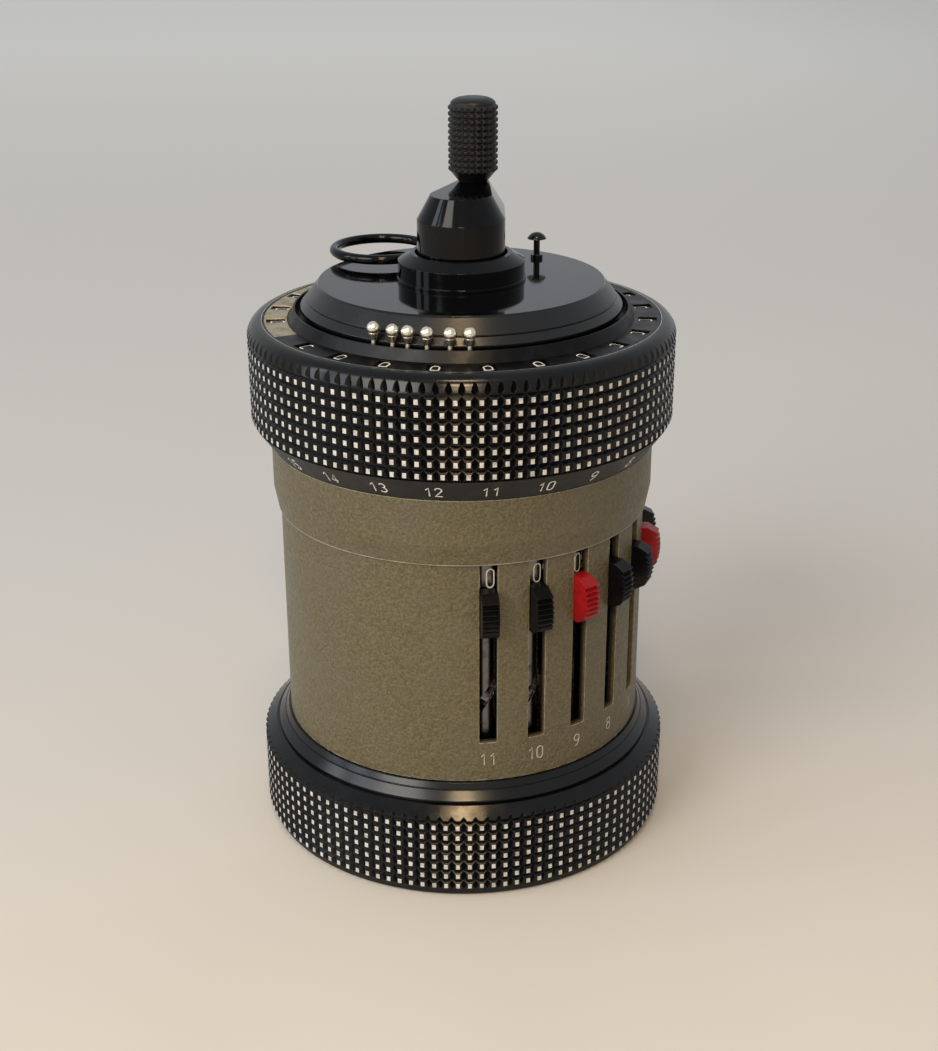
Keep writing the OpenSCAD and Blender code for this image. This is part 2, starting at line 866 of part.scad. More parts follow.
module carriage_spring() {
  z_low = z_hub_floor + spring_wire_r + run_play;
  z_high = z_washer - spring_wire_r - run_play;
  steps = spring_turns * spring_steps;
  rings = [
    for (i = [0:steps], j = [0:spring_sides - 1])
      let (
        a = i * 360 / spring_steps,
        b = j * 360 / spring_sides,
        r = spring_r + spring_wire_r * cos(b)
      )
      [r * cos(a), r * sin(a), z_low + (z_high - z_low) * i / steps + spring_wire_r * sin(b)]
  ];
  sides = [
    for (i = [0:steps - 1], j = [0:spring_sides - 1])
      let (
        n = (j + 1) % spring_sides,
        p = i * spring_sides,
        q = p + spring_sides
      )
      each [[p + j, q + j, q + n], [p + j, q + n, p + n]]
  ];
  first_cap = [for (j = [1:spring_sides - 2]) [0, j, j + 1]];
  last = steps * spring_sides;
  last_cap = [for (j = [1:spring_sides - 2]) [last, last + j + 1, last + j]];
  color("silver") polyhedron(points = rings, faces = concat(sides, first_cap, last_cap));
}

module reversing_lever() {
  color("black")
    at_station(lever_angle) {
      translate([-lever_w / 2, -body_r - lever_reach, z_lever])
        cube([lever_w, body_wall + lever_reach + lever_plate_t, lever_h]);
      translate([-lever_plate_w / 2, -body_in_r + clear_gap, z_lever])
        cube([lever_plate_w, lever_plate_t, lever_h]);
    }
}

// Sliders and their setting shafts

// Knob seen from its side: outward distance and height, saw teeth on the crowned face
module knob_outline() {
  r_face = body_r + knob_reach;
  h = knob_h - 2 * knob_bevel;
  step = h / knob_teeth;
  face = [
    for (i = [0:knob_teeth - 1])
      let (
        f = (i + 0.5) / knob_teeth * 2 - 1,
        r = r_face - knob_crown * f * f
      )
      each [[r - knob_tooth_d, knob_bevel + i * step], [r, knob_bevel + (i + knob_tooth_lean) * step]]
  ];
  polygon(concat(
    [[body_in_r + knob_in, 0], [r_face - knob_crown - 2 * knob_bevel, 0]],
    face,
    [[r_face - knob_crown - 2 * knob_bevel, knob_h], [body_in_r + knob_in, knob_h]]
  ));
}

module slider(k) {
  plate_out = body_in_r - arm_wall_gap;
  plate_in = set_shaft_ring_r + set_shaft_r + 2 * loose_play;
  arm_side = set_shaft_r + clear_gap + arm_t;
  bar_y = set_shaft_ring_r - set_shaft_r - clear_gap;
  color(k % 3 == 0 ? "firebrick" : "black")
    at_station(station_angle(k)) {
      translate([-knob_w / 2, 0, z_knob])
        rotate([90, 0, 90]) linear_extrude(knob_w) mirror([1, 0]) knob_outline();
      translate([-knob_w / 2, -body_in_r - knob_in - join, z_arm])
        cube([knob_w, body_in_r + knob_in + join - plate_out + join, arm_h]);
      translate([-arm_side, -plate_out, z_arm])
        cube([arm_side + knob_w / 2, plate_out - plate_in, arm_h]);
      translate([-arm_side, -plate_out, z_arm]) cube([arm_t, plate_out - bar_y + arm_t, arm_h]);
      translate([-arm_side, -bar_y, z_arm]) cube([arm_side + arm_t, arm_t, arm_h]);
      translate([-arm_t, -bar_y, z_arm])
        cube([2 * arm_t, bar_y - drive_ring_r - drive_r - clear_gap, fork_h]);
      translate([-arm_side + join, -set_shaft_ring_r, z_pin]) rotate([0, 90, 0])
        cylinder(r = pin_r, h = arm_side - join - set_shaft_r + pin_depth);
      translate([0, -drive_ring_r, 0]) tube(fork_ring_r, drive_r + loose_play, z_arm, fork_h);
      translate([0, -drive_ring_r, z_arm + fork_h + run_play])
        linear_extrude(gear_h)
          difference() {
            gear_outline(gear_r, gear_root_r, gear_teeth);
            circle(drive_r + loose_play);
          }
    }
}

module setting_shaft(k) {
  z_low = z_body + plate_t + loose_play;
  z_drum_foot = z_knob_top - number_drum_drop;
  z_groove = z_pin - travel - groove_end;
  groove_h = travel + 2 * groove_end;
  z_groove_top = z_groove + groove_h;
  z_end = z_upper_plate + plate_t - clear_gap;
  color("slategray")
    at_station(station_angle(k))
      translate([0, -set_shaft_ring_r, 0]) {
        translate([0, 0, z_body + clear_gap])
          cylinder(r = journal_r, h = z_end - z_body - clear_gap);
        difference() {
          translate([0, 0, z_low])
            cylinder(r = set_shaft_r, h = z_groove_top + drum_neck_h - z_low);
          translate([0, 0, z_groove])
            linear_extrude(groove_h, twist = -groove_turn * groove_h, slices = groove_slices, $fn = 4)
              rotate(180 - groove_turn * (z_pin - z_groove))
                translate([set_shaft_r - groove_d, -groove_w / 2]) square([2 * groove_d, groove_w]);
        }
        translate([0, 0, z_groove_top]) cylinder(r = drum_neck_r, h = z_drum_foot - z_groove_top + join);
        translate([0, 0, z_drum_foot]) cylinder(r = number_drum_r, h = number_drum_h);
      }
}

base_plate();
base_screws();
base_ring();
base_collar();
lower_plate();
housing();
upper_plate();
transmission_shafts();
frame_tube();
retaining_nut();
carriage_ring();
number_ring();
carriage_deck();
counter_face();
result_dials();
counter_dials();
clearing_plate();
hub_collar();
clearing_ring();
ring_pivot_pin();
ring_stop_pin();
main_shaft();
step_drum();
crank_arm();
crank_grip();
grip_spindle();
shaft_bush();
spring_washer();
carriage_spring();
reversing_lever();
for (k = [1:len(marker_angles)])
  decimal_marker(k);
for (k = [1:slider_count])
  slider(k);
for (k = [1:slider_count])
  setting_shaft(k);
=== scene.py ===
"""Looks of a hand-cranked pocket calculator: finishes for its solids, painted figures, and a studio."""

import json
import math

import bmesh
import bpy
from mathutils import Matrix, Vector


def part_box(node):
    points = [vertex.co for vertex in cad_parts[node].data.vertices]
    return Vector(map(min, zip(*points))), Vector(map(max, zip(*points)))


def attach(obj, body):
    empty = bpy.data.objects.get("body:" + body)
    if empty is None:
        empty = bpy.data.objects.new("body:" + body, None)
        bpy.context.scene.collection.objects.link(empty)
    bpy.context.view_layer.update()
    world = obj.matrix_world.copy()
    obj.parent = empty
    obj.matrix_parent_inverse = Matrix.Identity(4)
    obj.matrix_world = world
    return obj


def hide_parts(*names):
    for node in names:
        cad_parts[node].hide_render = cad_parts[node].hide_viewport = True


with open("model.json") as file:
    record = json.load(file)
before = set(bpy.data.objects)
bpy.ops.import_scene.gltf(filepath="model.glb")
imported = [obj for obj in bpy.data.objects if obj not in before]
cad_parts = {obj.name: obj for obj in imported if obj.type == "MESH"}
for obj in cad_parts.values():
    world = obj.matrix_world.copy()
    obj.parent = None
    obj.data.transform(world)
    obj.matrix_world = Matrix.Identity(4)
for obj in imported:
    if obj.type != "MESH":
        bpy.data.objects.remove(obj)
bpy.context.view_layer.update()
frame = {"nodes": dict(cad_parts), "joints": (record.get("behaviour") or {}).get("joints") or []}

MM = 0.001

# Places round the main axis
STATION = 15.0             # degrees from one place to the next
SLIDERS = 11
RESULTS = 15
COUNTERS = 8
COUNTER_START = -67.5      # degrees from the front to the place before the first counter place
MARKERS = 6
RED_EVERY = 3              # every third slider is red

# Sizes of the solids that their boxes don't give
BODY_R = 28.6 * MM         # radius of the slotted part of the housing
STEP_Z = 53.7 * MM         # height of the step up to the housing's wider band
SLOT_FOOT = 24.45 * MM     # height of the slots' lower ends
BEVEL = 2.0 * MM           # rise of the base ring's bevel above its knurl
SHOULDER = 2.8 * MM        # rise of the carriage's shoulder above its knurl
RIM_IN = 2.3 * MM          # from the tops of the carriage's knurl in to its upper rim
SHOULDER_RISE = 28         # degrees by which the shoulder's lower part faces up
KNURL_COLUMNS = 114
DIAL_R = 2.3 * MM
DRUM_R = 2.9 * MM          # radius of the number drum on a setting shaft
HUB_R = 6.6 * MM           # crank arm round the main axis, at its foot and at its top
HUB_TOP_R = 4.6 * MM
END_R = 4.8 * MM           # crank arm round the grip, at its foot and at its top
END_TOP_R = 2.5 * MM
ARM_THICK = 3.6 * MM


def station(k):
    """Angle in degrees of result place k, from the front towards the right."""
    return STATION / 2 + STATION * (SLIDERS - k)


def counter_angle(k):
    """Angle in degrees of counter place k, from the front towards the right."""
    return COUNTER_START - STATION * k


def low(node):
    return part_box(node)[0]


def high(node):
    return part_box(node)[1]


def radius(node):
    return (high(node).x - low(node).x) / 2


def upright_axis(node):
    """Where the middle line of an upright solid stands, as x and y."""
    lo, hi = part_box(node)
    return ((lo.x + hi.x) / 2, (lo.y + hi.y) / 2)


def place_object(name, data):
    """Puts a mesh, lamp or camera into the scene."""
    placed = bpy.data.objects.new(name, data)
    bpy.context.scene.collection.objects.link(placed)
    return placed


def point_at(placed, direction):
    """Turns a lamp or camera to look along a direction."""
    placed.rotation_euler = direction.to_track_quat("-Z", "Y").to_euler()


def finished_mesh(bm, name, finish):
    """Ends the work on a bmesh and gives its mesh one finish."""
    mesh = bpy.data.meshes.new(name)
    bm.to_mesh(mesh)
    bm.free()
    mesh.materials.append(finish)
    return mesh


def srgb(red, green, blue):
    """A screen colour, 0 to 255, as the linear colour that a shader takes."""
    def linear(c):
        c /= 255
        return c / 12.92 if c <= 0.04045 else ((c + 0.055) / 1.055) ** 2.4
    return (linear(red), linear(green), linear(blue), 1.0)


# Finishes

# For each kind of Mix node: its two inputs and its output
MIX_SOCKETS = {"FLOAT": (2, 3, 0), "VECTOR": (4, 5, 1), "RGBA": (6, 7, 2)}
BEVEL_SAMPLES = 6
CELL_EASE = 0.6            # how far neighbouring cells run into each other
SOFT_EDGE = 0.12 * MM      # radius of edges that look rounded off


class Nodes:
    """Adds nodes to a node tree and links them."""

    def __init__(self, tree):
        self.tree = tree

    def join(self, socket, value):
        """Links an output to a socket, or sets the socket to a constant."""
        if isinstance(value, bpy.types.NodeSocket):
            self.tree.links.new(value, socket)
        else:
            socket.default_value = value

    def node(self, kind, **inputs):
        """A new node of that kind, with its named inputs linked or set."""
        node = self.tree.nodes.new("ShaderNode" + kind)
        for socket, value in inputs.items():
            self.join(node.inputs[socket], value)
        return node

    def math(self, operation, a, b=0.0):
        node = self.node("Math")
        node.operation = operation
        self.join(node.inputs[0], a)
        self.join(node.inputs[1], b)
        return node.outputs[0]

    def product(self, first, *others):
        for other in others:
            first = self.math("MULTIPLY", first, other)
        return first

    def vector(self, operation, *values, output="Vector"):
        node = self.node("VectorMath")
        node.operation = operation
        for socket, value in zip(node.inputs, values):
            self.join(socket, value)
        return node.outputs[output]

    def mix(self, share, a, b, kind="RGBA"):
        """Goes from a to b as the share goes from 0 to 1."""
        first, second, result = MIX_SOCKETS[kind]
        node = self.node("Mix")
        node.data_type = kind
        self.join(node.inputs[0], share)
        self.join(node.inputs[first], a)
        self.join(node.inputs[second], b)
        return node.outputs[result]


class Finish(Nodes):
    """A procedural material: one Principled shader and the nodes that feed it."""

    def __init__(self, name, colour, **sockets):
        self.material = bpy.data.materials.new(name)
        self.material.use_nodes = True
        super().__init__(self.material.node_tree)
        self.shader = self.tree.nodes["Principled BSDF"]
        self.set("Base Color", colour)
        for socket, value in sockets.items():
            self.set(socket.replace("_", " ").title().replace("Ior", "IOR"), value)
        self.place = self.node("TexCoord").outputs["Object"]

    def set(self, socket, value):
        self.join(self.shader.inputs[socket], value)

    def noise(self, size, detail=2.0, place=None):
        """Soft random value from 0 to 1, with blots of about that size."""
        return self.node("TexNoise", Vector=place or self.place, Scale=1 / size, Detail=detail).outputs[0]

    def cells(self, size, place):
        """Distance to the middle of the nearest cell of about that size."""
        node = self.node("TexVoronoi", Vector=place, Scale=1 / size)
        node.feature = "SMOOTH_F1"
        node.inputs["Smoothness"].default_value = CELL_EASE
        return node.outputs["Distance"]

    def ramp(self, value, start, end, first=0.0, last=1.0):
        """Eases from first to last while the value goes from start to end."""
        node = self.node("MapRange")
        node.interpolation_type = "SMOOTHSTEP"
        for socket, amount in zip(node.inputs, (value, start, end, first, last)):
            self.join(socket, amount)
        return node.outputs[0]

    def along(self, axis):
        """Place on the surface along X, Y or Z."""
        return self.node("SeparateXYZ", Vector=self.place).outputs[axis]

    def stretched(self, x, y, z):
        """The place on the surface, with each axis stretched by a factor."""
        return self.vector("MULTIPLY", self.place, (x, y, z))

    def warped(self, size, push):
        """The place on the surface, pushed about so that cells lose their straight borders."""
        drift = self.node("TexNoise", Vector=self.place, Scale=1 / size).outputs["Color"]
        return self.vector("MULTIPLY_ADD", drift, (push, push, push), self.place)

    def from_axis(self):
        """Distance from the machine's main axis."""
        return self.vector("LENGTH", self.stretched(1, 1, 0), output="Value")

    def round_place(self, count):
        """Place between two of count equal steps round the main axis, 0 to 1."""
        turn = self.math("ARCTAN2", self.along("X"), self.math("MULTIPLY", self.along("Y"), -1.0))
        return self.math("FRACT", self.math("MULTIPLY", turn, count / (2 * math.pi)))

    def true_normal(self):
        return self.node("NewGeometry").outputs["Normal"]

    def rounded_normal(self, edge):
        """The normal that the surface would have with its edges rounded off by that radius."""
        node = self.node("Bevel", Radius=edge)
        node.samples = BEVEL_SAMPLES
        return node.outputs["Normal"]

    def bump(self, height, depth, edge=SOFT_EDGE):
        """Relief of that depth, on edges that catch the light as if rounded off."""
        node = self.node("Bump", Distance=depth, Height=height, Normal=self.rounded_normal(edge))
        self.set("Normal", node.outputs["Normal"])

    def edges(self, width):
        """1 along sharp edges of the solid, 0 away from them."""
        alike = self.vector("DOT_PRODUCT", self.rounded_normal(width), self.true_normal(), output="Value")
        return self.ramp(alike, 0.8, 0.98, 1.0, 0.0)

    def turned(self, normal, before, after):
        """A normal, taken from one space to another."""
        node = self.node("VectorTransform", Vector=normal)
        node.vector_type = "NORMAL"
        node.convert_from = before
        node.convert_to = after
        return node.outputs["Vector"]

    def flatten(self, share, rise):
        """Shades what faces straight out as a cone whose normal rises by that many degrees."""
        outwards = self.vector("NORMALIZE", self.stretched(1, 1, 0))
        level = math.cos(math.radians(rise))
        upwards = math.sin(math.radians(rise))
        cone = self.vector("MULTIPLY_ADD", outwards, (level, level, level), (0, 0, upwards))
        sideways = self.vector("CROSS_PRODUCT", outwards, (0, 0, 1))
        facing = self.turned(self.true_normal(), "WORLD", "OBJECT")
        lean = self.math("ABSOLUTE", self.vector("DOT_PRODUCT", sideways, facing, output="Value"))
        share = self.product(share, self.ramp(lean, 0.1, 0.3, 1.0, 0.0))
        before = self.shader.inputs["Normal"].links[0].from_socket
        self.set("Normal", self.mix(share, before, self.turned(cone, "OBJECT", "WORLD"), "VECTOR"))


OLIVE = srgb(121, 111, 83)
OLIVE_DARK = srgb(75, 66, 43)
OLIVE_LIGHT = srgb(100, 91, 65)
OLIVE_DENT = srgb(83, 75, 51)
OLIVE_PATCH = srgb(90, 88, 71)
# Pale colour for the worn paint and for the painted highlight along the step
OLIVE_WORN_AND_HIGHLIGHT = srgb(196, 190, 170)
# Painted shade for the inner walls of the slots
SLOT_PAINTED_SHADE = srgb(36, 32, 25)


def olive_paint():
    """Hammered olive paint: speckled, worn at the foot and the edges, with a painted highlight along the
    step and painted shade in the slots.
    """
    f = Finish("olive_paint", OLIVE, coat_weight=0.1, coat_roughness=0.35)
    z = f.along("Z")
    dents = f.cells(0.8 * MM, f.warped(0.6 * MM, 0.5 * MM))
    speckle = f.noise(0.36 * MM, detail=3.0)
    patches = f.noise(9 * MM)
    hue = f.mix(f.ramp(speckle, 0.36, 0.64), OLIVE_DARK, OLIVE_LIGHT)
    hue = f.mix(f.ramp(dents, 0.25, 0.75, 0.0, 0.4), hue, OLIVE_DENT)
    hue = f.mix(f.ramp(patches, 0.4, 0.7, 0.0, 0.3), hue, OLIVE_PATCH)

    foot = low("housing").z
    uneven = f.math("MULTIPLY", f.noise(1.2 * MM, detail=4.0), 0.4 * MM)
    at_foot = f.ramp(f.math("SUBTRACT", z, uneven), foot - 0.15 * MM, foot + 0.08 * MM, 0.8, 0.0)
    # Painted highlight: a pale line along the step, where its edge would catch the light
    off_step = f.math("ABSOLUTE", f.math("SUBTRACT", z, STEP_Z))
    step_painted_highlight = f.product(f.ramp(off_step, 0.08 * MM, 0.2 * MM, 1.0, 0.0),
                        f.ramp(f.noise(2.5 * MM, detail=3.0), 0.3, 0.65, 0.25, 0.6))
    at_edges = f.product(f.edges(0.2 * MM),
                         f.ramp(f.noise(0.7 * MM, detail=3.0), 0.4, 0.6, 0.35, 0.85))
    # Real wear at the foot and on the edges, joined with the painted highlight along the step
    worn = f.math("MAXIMUM", f.math("MAXIMUM", at_foot, step_painted_highlight), at_edges)
    hue = f.mix(worn, hue, OLIVE_WORN_AND_HIGHLIGHT)

    # Painted shade: the paint darkens inwards from the housing's face, on the walls inside the slots
    in_slot_painted_shade = f.ramp(f.from_axis(), BODY_R - 0.9 * MM, BODY_R - 0.35 * MM, 1.0, 0.0)
    f.set("Base Color", f.mix(in_slot_painted_shade, hue, SLOT_PAINTED_SHADE))
    f.set("Roughness", f.ramp(f.noise(0.8 * MM), 0.3, 0.7, 0.4, 0.54))
    f.bump(f.math("ADD", dents, f.math("MULTIPLY", speckle, 0.9)), 0.11 * MM, edge=0.14 * MM)
    return f.material


KNURL_BLACK = srgb(6, 6, 7)
KNURL_DEEP = srgb(4, 4, 5)
KNURL_RUBBED = srgb(10, 10, 11)
BARE_BRIGHT = srgb(216, 214, 210)
BARE_DULL = srgb(172, 170, 166)
BARE_HALF = 0.29 * MM      # half the width of the bare spot on a knurl top
BARE_EASE = 0.04 * MM      # half the width of its soft border


def knurl_black(name, node, above_knurl, rim_in=None, rise=None):
    """Satin black over metal, worn bare on the flat tops of the knurl and along the rim."""
    f = Finish(name, KNURL_BLACK, specular_ior_level=0.3)
    r = f.from_axis()
    z = f.along("Z")
    crest = radius(node)
    foot = low(node).z
    peak = high(node).z
    top = peak - above_knurl

    scuffs = f.math("MULTIPLY", f.math("SUBTRACT", f.noise(0.4 * MM, detail=3.0), 0.5), 0.03 * MM)
    column = 2 * math.pi * crest / KNURL_COLUMNS
    aside = f.math("ABSOLUTE", f.math("SUBTRACT", f.round_place(KNURL_COLUMNS), 0.5))
    aside = f.math("ADD", f.math("MULTIPLY", aside, column), f.math("MULTIPLY", scuffs, 4.0))
    bare = f.product(f.ramp(f.math("ADD", r, scuffs), crest - 0.035 * MM, crest - 0.015 * MM),
                     f.ramp(z, foot - 0.1 * MM, foot),
                     f.ramp(z, top - 0.1 * MM, top, 1.0, 0.0),
                     f.ramp(aside, BARE_HALF - BARE_EASE, BARE_HALF + BARE_EASE, 1.0, 0.0))
    if rim_in:
        rim = crest - rim_in
        at_rim = f.product(f.ramp(r, rim + 0.02 * MM, rim + 0.12 * MM, 0.75, 0.0),
                           f.ramp(z, peak - 0.12 * MM, peak - 0.04 * MM))
        bare = f.math("MAXIMUM", bare, at_rim)

    shade = f.noise(3 * MM, detail=4.0)
    black = f.mix(f.ramp(shade, 0.45, 0.75), KNURL_DEEP, KNURL_RUBBED)
    bright = f.mix(f.ramp(f.noise(0.9 * MM), 0.35, 0.7), BARE_BRIGHT, BARE_DULL)
    f.set("Base Color", f.mix(bare, black, bright))
    f.set("Metallic", f.math("MULTIPLY", bare, 0.3))
    polished = f.ramp(z, top, top + 0.4 * MM, 0.0, 0.07)
    f.set("Roughness", f.math("SUBTRACT", f.ramp(shade, 0.3, 0.7, 0.22, 0.3), polished))
    f.bump(f.noise(0.12 * MM), 0.003 * MM, edge=0.04 * MM)
    if rise:
        on_bevel = f.product(f.ramp(z, top - 0.1 * MM, top + 0.2 * MM),
                             f.ramp(z, top + 1.0 * MM, top + 2.2 * MM, 1.0, 0.0))
        f.flatten(f.math("MULTIPLY", on_bevel, 0.85), rise)
    return f.material


RING_GAP = 0.16 * MM       # between the fine rings of turned metal
DUST = srgb(96, 93, 88)


def turned_black(name, colour, rough, gloss=0.5, matt_below=None):
    """Black on turned metal: fine rings in the gloss, faint dust, and matt below a given height."""
    f = Finish(name, colour, specular_ior_level=gloss)
    lines = f.node("TexNoise", Scale=1 / RING_GAP, Detail=3.0)
    lines.noise_dimensions = "1D"
    f.join(lines.inputs["W"], f.math("ADD", f.from_axis(), f.along("Z")))
    rings = lines.outputs[0]
    roughness = f.math("ADD", f.ramp(f.noise(4 * MM, detail=4.0), 0.35, 0.75, rough, rough + 0.05),
                       f.math("MULTIPLY", rings, 0.03))
    if matt_below:
        matt = f.ramp(f.along("Z"), matt_below - 0.1 * MM, matt_below, 0.22, 0.0)
        roughness = f.math("ADD", roughness, matt)
    f.set("Roughness", roughness)
    specks = f.ramp(f.noise(0.25 * MM, detail=1.0), 0.74, 0.82, 0.0, 0.4)
    f.set("Base Color", f.mix(specks, colour, DUST))
    f.bump(rings, 0.0004 * MM)
    return f.material


def plain_black(name, colour, rough, grain, gloss=0.35):
    """Moulded or enamelled black with a fine skin and rubbed patches."""
    f = Finish(name, colour, specular_ior_level=gloss)
    rubbed = f.noise(2.5 * MM, detail=4.0)
    light = tuple(min(1.0, c * 1.7 + 0.004) for c in colour[:3]) + (1.0,)
    f.set("Base Color", f.mix(f.ramp(rubbed, 0.45, 0.8), colour, light))
    f.set("Roughness", f.ramp(rubbed, 0.3, 0.7, rough, rough + 0.14))
    f.bump(f.noise(0.2 * MM), grain)
    return f.material


def metal(name, colour, tarnish, rough):
    """Bare metal with fine scratches and a darker tarnish in blots."""
    f = Finish(name, colour, metallic=1.0)
    blots = f.noise(2 * MM, detail=4.0)
    scratches = f.noise(0.12 * MM, place=f.stretched(1, 1, 0.08))
    f.set("Base Color", f.mix(f.ramp(blots, 0.45, 0.75), colour, tarnish))
    f.set("Roughness", f.math("ADD", f.ramp(blots, 0.3, 0.8, rough, rough + 0.12),
                              f.math("MULTIPLY", scratches, 0.08)))
    f.bump(scratches, 0.003 * MM)
    return f.material


def plastic(name, colour, shade, rough, gloss=0.35):
    """Slider plastic: even colour, darker in blots, with a fine skin."""
    f = Finish(name, colour, specular_ior_level=gloss)
    blots = f.noise(1.5 * MM, detail=3.0)
    f.set("Base Color", f.mix(f.ramp(blots, 0.35, 0.75), colour, shade))
    f.set("Roughness", f.ramp(blots, 0.3, 0.7, rough, rough + 0.12))
    f.bump(f.noise(0.15 * MM), 0.006 * MM)
    return f.material


def ink(name, colour, worn):
    """Filled figures, thin and greyed in places."""
    f = Finish(name, colour, roughness=0.5)
    f.set("Base Color", f.mix(f.ramp(f.noise(0.4 * MM, detail=3.0), 0.5, 0.8), colour, worn))
    f.bump(f.noise(0.08 * MM), 0.004 * MM)
    return f.material


disc_edge = high("clearing_plate").z - 0.2 * MM
steel = metal("steel", srgb(190, 190, 188), srgb(150, 148, 144), rough=0.22)
bright_steel = metal("bright_steel", srgb(240, 231, 212), srgb(214, 203, 182), rough=0.2)
dark_steel = metal("dark_steel", srgb(112, 110, 108), srgb(70, 68, 67), rough=0.16)
brass = metal("brass", srgb(196, 160, 88), srgb(150, 116, 60), rough=0.2)
silver_face = metal("silver_face", srgb(192, 180, 150), srgb(158, 144, 112), rough=0.34)
gloss_black = turned_black("gloss_black", srgb(4, 4, 5), rough=0.03, matt_below=disc_edge)
hub_black = turned_black("hub_black", srgb(4, 4, 5), rough=0.05, gloss=0.2)
neck_black = turned_black("neck_black", srgb(5, 5, 6), rough=0.19, gloss=0.35)
enamel_black = plain_black("enamel_black", srgb(5, 5, 6), rough=0.09, grain=0.001 * MM)
ring_grey = plain_black("ring_grey", srgb(30, 30, 31), rough=0.45, grain=0.004 * MM)
deck_black = plain_black("deck_black", srgb(4, 4, 5), rough=0.28, grain=0.002 * MM, gloss=0.18)
dial_black = plain_black("dial_black", srgb(8, 8, 8), rough=0.4, grain=0.004 * MM)
base_black = plain_black("base_black", srgb(12, 12, 13), rough=0.3, grain=0.006 * MM)
grip_black = plain_black("grip_black", srgb(10, 10, 11), rough=0.34, grain=0.008 * MM)
knob_red = plastic("knob_red", srgb(150, 16, 20), srgb(118, 9, 14), rough=0.28)
knob_black = plastic("knob_black", srgb(7, 7, 8), srgb(4, 4, 5), rough=0.26, gloss=0.22)
white_ink = ink("white_ink", srgb(236, 233, 224), srgb(200, 196, 186))
pale_ink = ink("pale_ink", srgb(206, 200, 182), srgb(168, 160, 138))

finishes = {
    "base_plate": base_black, "base_screws": steel, "base_collar": neck_black,
    "base_ring": knurl_black("base_knurl", "base_ring", BEVEL),
    "carriage_ring": knurl_black("carriage_knurl", "carriage_ring", SHOULDER, RIM_IN, SHOULDER_RISE),
    "housing": olive_paint(), "lower_plate": brass, "upper_plate": brass, "step_drum": brass,
    "shaft_bush": brass, "transmission_shafts": steel, "frame_tube": steel, "retaining_nut": steel,
    "main_shaft": steel, "grip_spindle": steel, "spring_washer": steel, "carriage_spring": steel,
    "ring_pivot_pin": enamel_black, "number_ring": ring_grey, "carriage_deck": deck_black,
    "counter_face": silver_face, "result_dials": dial_black, "counter_dials": dial_black,
    "clearing_plate": gloss_black, "hub_collar": hub_black, "clearing_ring": hub_black,
    "ring_stop_pin": enamel_black, "crank_arm": hub_black, "crank_grip": grip_black,
    "reversing_lever": knob_black,
}
for k in range(1, MARKERS + 1):
    finishes[f"decimal_marker_{k}"] = bright_steel
for k in range(1, SLIDERS + 1):
    finishes[f"slider_{k}"] = knob_red if k % RED_EVERY == 0 else knob_black
    finishes[f"setting_shaft_{k}"] = dark_steel
for name, solid in frame["nodes"].items():
    solid.data.materials.clear()
    solid.data.materials.append(finishes[name])


# Figures: flat numerals, bent round the piece that carries them

NUMERAL_WIDTH = 0.5        # in numeral heights
ADVANCE = 0.72             # from one numeral to the next, in numeral heights
FLATNESS = 0.15            # thickness of a filled stroke against its width
PROUD = 0.005 * MM         # how far the middle of a filled stroke lies over its ground

NUMBER_HEIGHT = 2.05 * MM  # figures on the number ring
NUMBER_STROKE = 0.25 * MM
NUMBER_AT = 0.45           # height of their middle on the ring's cone, as a share of it

SLOT_HEIGHT = 2.0 * MM     # figures under the slots
SLOT_STROKE = 0.18 * MM
SLOT_DROP = 2.85 * MM      # from a slot's foot down to the middle of its figure

ZERO_HEIGHT = 1.9 * MM     # figures on the dials
ZERO_STROKE = 0.26 * MM
ZERO_WIDEN = 1.35
ZERO_MIDDLE = 27.8 * MM    # from the main axis to the middle of a dial's figure

DIGIT_HEIGHT = 2.9 * MM    # figures on the number drums
DIGIT_STROKE = 0.28 * MM
DIGIT_WIDEN = 0.86
DIGIT_Z = 50.85 * MM
DIGIT_TURN = 36            # degrees from one digit to the next
DIGIT_SHIFT = 9            # degrees by which the digits sit past the middle of their slots


def arc(x, y, rx, ry, start, end, steps=10):
    """Points on an arc of an ellipse, between two angles in degrees."""
    angles = [math.radians(start + (end - start) * i / steps) for i in range(steps + 1)]
    return [(x + rx * math.cos(a), y + ry * math.sin(a)) for a in angles]


# Engraver's numerals as strokes, one unit high
SIX = [arc(0.25, 0.27, 0.25, 0.27, 180, 540, 20), arc(0.5, 0.27, 0.5, 0.73, 180, 105, 6)]
STROKES = {
    "0": [arc(0.25, 0.77, 0.23, 0.23, 0, 180) + arc(0.25, 0.23, 0.23, 0.23, 180, 360) + [(0.48, 0.77)]],
    "1": [[(0.1, 0.74), (0.32, 1.0), (0.32, 0.0)]],
    "2": [arc(0.25, 0.75, 0.23, 0.25, 170, -35) + [(0.0, 0.0), (0.5, 0.0)]],
    "3": [arc(0.24, 0.76, 0.21, 0.24, 150, -90) + arc(0.24, 0.27, 0.25, 0.27, 90, -150)],
    "4": [[(0.36, 0.0), (0.36, 1.0), (0.0, 0.27), (0.5, 0.27)]],
    "5": [[(0.45, 1.0), (0.07, 1.0), (0.04, 0.53)] + arc(0.23, 0.3, 0.26, 0.3, 115, -145)],
    "6": SIX,
    "7": [[(0.0, 1.0), (0.5, 1.0), (0.17, 0.0)]],
    "8": [arc(0.25, 0.76, 0.2, 0.24, 270, 630, 20), arc(0.25, 0.26, 0.25, 0.26, 90, 450, 20)],
    "9": [[(NUMERAL_WIDTH - x, 1 - y) for x, y in stroke] for stroke in SIX],
}


